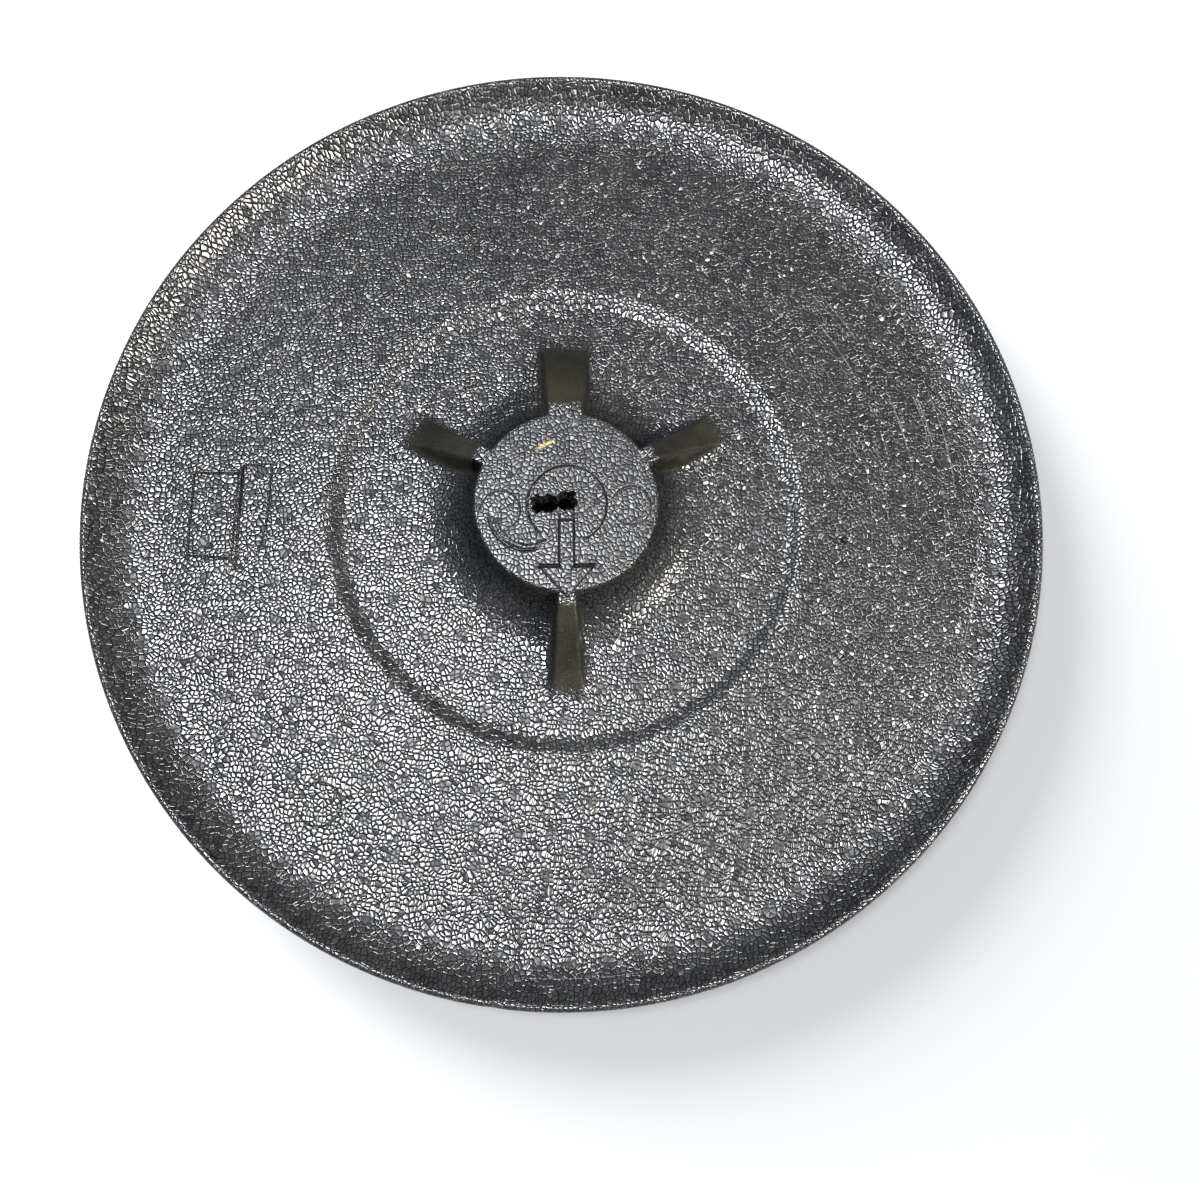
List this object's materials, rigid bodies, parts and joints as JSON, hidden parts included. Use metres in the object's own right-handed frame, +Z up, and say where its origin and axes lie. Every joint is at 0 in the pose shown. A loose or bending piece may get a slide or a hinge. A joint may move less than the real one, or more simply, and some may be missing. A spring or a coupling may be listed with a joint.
{
  "type": "spare-wheel well foam insert",
  "caption": "Round moulded bead-foam dish with a raised hub boss, buttress ribs, a swept-up rim and a central hold-down bolt hole.",
  "frame": {"origin": "centre of the flat base, on the axis of the bolt hole", "axes": "+Z up through the boss; the arrow on the boss points along -Y; the torn lobe of the hole is on the -X side"},
  "size_m": [0.56, 0.56, 0.05],
  "materials": {
    "bead_foam": "satin"
  },
  "bodies": {
    "root": {"foam_dish": "bead_foam"}
  },
  "joints": []
}
